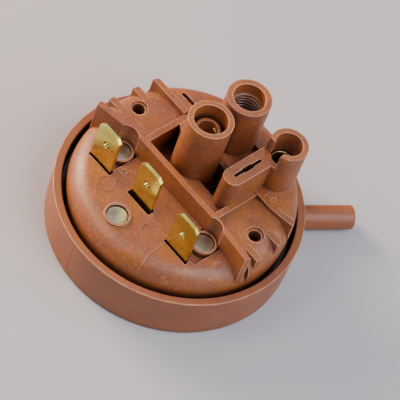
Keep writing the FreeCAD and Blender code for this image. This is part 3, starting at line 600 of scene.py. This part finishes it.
def spiralTree():
    tree = bpy.data.node_groups.new("raisedSpiral", "GeometryNodeTree")
    tree.is_modifier = True
    identifiers = {}
    for key, label, kind, value in raisedLine["inputs"]:
        socket = tree.interface.new_socket(label, in_out="INPUT", socket_type=kind)
        if value is not None:
            socket.default_value = value
        identifiers[key] = socket.identifier
    tree.interface.new_socket("Geometry", in_out="OUTPUT", socket_type="NodeSocketGeometry")
    outputs = {socket.identifier: socket for socket in addNode(tree, "NodeGroupInput").outputs}
    given = {key: outputs[identifier] for key, identifier in identifiers.items()}

    # The line, pushed sideways by a noise
    line = addNode(tree, "GeometryNodeCurveSpiral", {
        "Resolution": given["steps"], "Rotations": given["turns"],
        "Start Radius": given["start"], "End Radius": given["end"], "Height": given["rise"]})
    drift = addNode(tree, "ShaderNodeTexNoise", {"Scale": raisedLine["wobbleScale"], "Detail": 1.0})
    centred = addNode(tree, "ShaderNodeVectorMath", {
        "Vector": drift.outputs["Color"], "Vector_001": (0.5, 0.5, 0.5)}, operation="SUBTRACT")
    flat = addNode(tree, "ShaderNodeVectorMath", {
        "Vector": centred.outputs["Vector"], "Vector_001": (1, 1, 0)}, operation="MULTIPLY")
    offset = addNode(tree, "ShaderNodeVectorMath", {
        "Vector": flat.outputs["Vector"], "Scale": given["wobble"]}, operation="SCALE")
    moved = addNode(tree, "GeometryNodeSetPosition", {
        "Geometry": line.outputs["Curve"], "Offset": offset.outputs["Vector"]})

    # A round section along it, thicker and thinner by another noise
    section = addNode(tree, "GeometryNodeCurvePrimitiveCircle", {
        "Resolution": raisedLine["sectionCorners"], "Radius": given["ridge"]})
    swell = addNode(tree, "ShaderNodeTexNoise", {"Scale": raisedLine["swellScale"], "Detail": 2.0})
    thickness = addNode(tree, "ShaderNodeMath", {
        "Value": swell.outputs["Fac"], "Value_001": 0.5}, operation="SUBTRACT")
    width = addNode(tree, "ShaderNodeMath", {
        "Value": thickness.outputs["Value"], "Value_001": given["uneven"], "Value_002": 1.0},
        operation="MULTIPLY_ADD")
    ridge = addNode(tree, "GeometryNodeCurveToMesh", {
        "Curve": moved.outputs["Geometry"], "Profile Curve": section.outputs["Curve"],
        "Scale": width.outputs["Value"], "Fill Caps": True})
    plain = addNode(tree, "GeometryNodeRealizeInstances", {"Geometry": ridge.outputs["Mesh"]})
    finished = addNode(tree, "GeometryNodeSetMaterial", {
        "Geometry": plain.outputs["Geometry"], "Material": given["finish"]})
    addNode(tree, "NodeGroupOutput", {"Geometry": finished.outputs["Geometry"]})
    return tree, identifiers


raisedSpiral, spiralInputs = spiralTree()


def placeOf(entry):
    # Turns a piece about the upright, then moves it to its place
    turn = Matrix.Rotation(math.radians(entry["turnDeg"]), 4, "Z")
    return Matrix.Translation(Vector((*entry["at"], entry["z"])) * mm) @ turn


def addSpiral(entry):
    item = addObject(entry["name"], bpy.data.meshes.new(entry["name"]))
    modifier = item.modifiers.new("raisedSpiral", "NODES")
    modifier.node_group = raisedSpiral
    for key, identifier in spiralInputs.items():
        modifier[identifier] = entry[key] * mm if key in raisedLine["lengths"] else entry[key]
    item.data = plainMesh(item)
    item.data.transform(placeOf(entry))
    for polygon in item.data.polygons:
        polygon.use_smooth = True
    fixPiece(item, entry["body"])


# Places on the solids: each spring stands on its tower's axis, and the deck is the dome's flat top
setTower = axisOf("set_spring")
resetTower = axisOf("reset_spring")
trimTower = axisOf("trim_spring")
towerTop = topOf("switch_housing")
trimTop = towerTop - 1.4  # this tower is lower than the other two
cupRim = topOf("pressure_cup")
deck = {"top": 16.0, "radius": 24.6, "round": 5.0}  # with its round shoulder, as in the solid
rimDrop = 0.08  # how far the middle of a flash line lies under an outer rim
mouthDrop = 0.05  # and under a bore's mouth
onHousing = {
    "rise": 0.0, "turns": 1.0, "steps": 48, "wobble": 0.0, "uneven": 0.0, "turnDeg": 0,
    "finish": housingPlastic, "slot": "housing_plastic", "body": "case",
}
spirals = [
    {"name": "boreThread", "at": resetTower, "z": topOf("reset_screw") + 2.2,  # above the screw's travel
     "start": 3.27, "end": 3.27, "rise": 7.1, "turns": 7.88, "ridge": 0.26, "turnDeg": 80,
     "finish": threadPlastic},
    {"name": "ejectorRing", "at": (-8.93, -14.77), "z": deck["top"],
     "start": 1.85, "end": 1.85, "ridge": 0.12, "wobble": 0.08, "uneven": 0.6},
    {"name": "gateSwirl", "at": (6.03, -14.29), "z": deck["top"] - 0.02,
     "start": 0.4, "end": 2.7, "turns": 3.7, "ridge": 0.07, "wobble": 1.0, "uneven": 1.6,
     "finish": markPlastic},
    {"name": "cupRimFlash", "at": (0, 0), "z": cupRim - 0.1,
     "start": 27.4, "end": 27.4, "steps": 200, "ridge": 0.15, "wobble": 0.3, "uneven": 2.2,
     "finish": flashPaintedHighlightPlastic, "slot": "cup_plastic"},
    {"name": "setRimFlash", "at": setTower, "z": towerTop - rimDrop,
     "start": 4.84, "end": 4.84, "ridge": 0.12, "wobble": 0.2, "uneven": 1.4, "finish": flashPaintedHighlightPlastic},
    {"name": "setMouthFlash", "at": setTower, "z": towerTop - mouthDrop,
     "start": 3.84, "end": 3.84, "ridge": 0.09, "wobble": 0.15, "uneven": 1.6, "finish": flashPaintedHighlightPlastic},
    {"name": "resetRimFlash", "at": resetTower, "z": towerTop - rimDrop,
     "start": 4.84, "end": 4.84, "ridge": 0.09, "wobble": 0.15, "uneven": 1.4, "turnDeg": 130},
    {"name": "resetMouthFlash", "at": resetTower, "z": towerTop - mouthDrop,
     "start": 3.65, "end": 3.65, "ridge": 0.12, "wobble": 0.22, "uneven": 1.6, "turnDeg": 60,
     "finish": flashPaintedHighlightPlastic},
    {"name": "trimRimFlash", "at": trimTower, "z": trimTop - rimDrop,
     "start": 4.12, "end": 4.12, "turns": 0.64, "ridge": 0.09, "wobble": 0.12, "uneven": 1.2,
     "turnDeg": 178},
    # The trim ring's edge and the neck liner's edge are pale brass, painted bright as glints
    {"name": "trimRingEdge", "at": trimTower, "z": topOf("trim_screw") - 0.02,
     "start": 2.6, "end": 2.6, "ridge": 0.13,
     "finish": paleGlintBrass, "slot": "brass", "body": "trim_adjuster"},
    {"name": "neckLinerEdge", "at": setTower, "z": topOf("set_screw") - 1.3,
     "start": 2.0, "end": 2.0, "turns": 0.12, "ridge": 0.24, "wobble": 0.1, "uneven": 0.8, "turnDeg": 88,
     "finish": paleGlintBrass, "slot": "brass", "body": "set_adjuster"},
]
for entry in spirals:
    addSpiral({**onHousing, **entry})
print("thread, rings and flash made")


def curvePiece(name, curve, material, place):
    # A text or a bevelled curve as a plain mesh in its place
    draft = addObject(name + "Draft", curve)
    mesh = plainMesh(draft)
    bpy.data.objects.remove(draft)
    mesh.transform(place)
    mesh.materials.clear()
    mesh.materials.append(material)
    return addObject(name, mesh)


# Terminal numbers and the mould's cavity number, raised from the surface
numbers = [
    {"name": "ncNumber", "text": "12", "at": (-8.4, -10.9), "z": deck["top"], "turnDeg": 90,
     "height": 1.5, "spacing": 1.1},
    {"name": "noNumber", "text": "14", "at": (16.75, -8.7), "z": deck["top"] - 0.15, "turnDeg": 0,
     "height": 2.0, "spacing": 1.0},
    {"name": "cavityNumber", "text": "10", "at": (12.6, 9.75), "z": 20.2, "turnDeg": 0,
     "height": 1.7, "spacing": 1.5},
]
lettering = {
    "figureShare": 0.7,  # a figure's height in its type size
    "raise": 0.1 * mm,
    "round": 0.04 * mm,
}


def addNumber(entry):
    face = bpy.data.curves.new(entry["name"], "FONT")
    face.body = entry["text"]
    face.size = entry["height"] * mm / lettering["figureShare"]
    face.extrude = lettering["raise"]
    face.bevel_depth = lettering["round"]
    face.space_character = entry["spacing"]
    piece = curvePiece(entry["name"], face, housingPlastic, placeOf(entry))
    fixPiece(piece, "case")


for entry in numbers:
    addNumber(entry)
print("numbers made")


# Thin ridges: a knit line, a short moulded bar and the cup's parting line. A point without a height lies
# on the deck.
ridges = [
    {"name": "knitLine", "radius": 0.09, "finish": housingPlastic, "slot": "housing_plastic",
     "points": [(9.36, -13.83), (9.29, -16.08), (9.33, -18.06),
                (9.72, -19.48), (10.02, -20.29), (10.37, -21.53)]},
    {"name": "mouldBar", "radius": 0.2, "finish": housingPlastic, "slot": "housing_plastic",
     "points": [(3.59, -15.91), (3.5, -14.9), (3.44, -13.84)]},
    # The parting line is painted pale, as a highlight along its ridge
    {"name": "partingLine", "radius": 0.045, "finish": flashPaintedHighlightPlastic, "slot": "cup_plastic",
     "points": [(-2.83, -27.3, 0.9), (-2.85, -27.32, 5.0), (-2.82, -27.35, 10.9)]},
]
ridgeRoundness = 2


def deckHeight(x, y):
    # Flat in the middle, then down round the dome's shoulder
    past = max(0.0, math.hypot(x, y) - (deck["radius"] - deck["round"]))
    return deck["top"] - deck["round"] + math.sqrt(max(0.0, deck["round"] ** 2 - past ** 2))


def addRidge(entry):
    path = bpy.data.curves.new(entry["name"], "CURVE")
    path.dimensions = "3D"
    path.bevel_depth = entry["radius"] * mm
    path.bevel_resolution = ridgeRoundness
    path.use_fill_caps = True
    line = path.splines.new("POLY")
    line.points.add(len(entry["points"]) - 1)
    for point, (x, y, *height) in zip(line.points, entry["points"]):
        z = height[0] if height else deckHeight(x, y)
        point.co = (x * mm, y * mm, z * mm, 1)
    piece = curvePiece(entry["name"], path, entry["finish"], Matrix())
    fixPiece(piece, "case")


for entry in ridges:
    addRidge(entry)
print("ridges made")
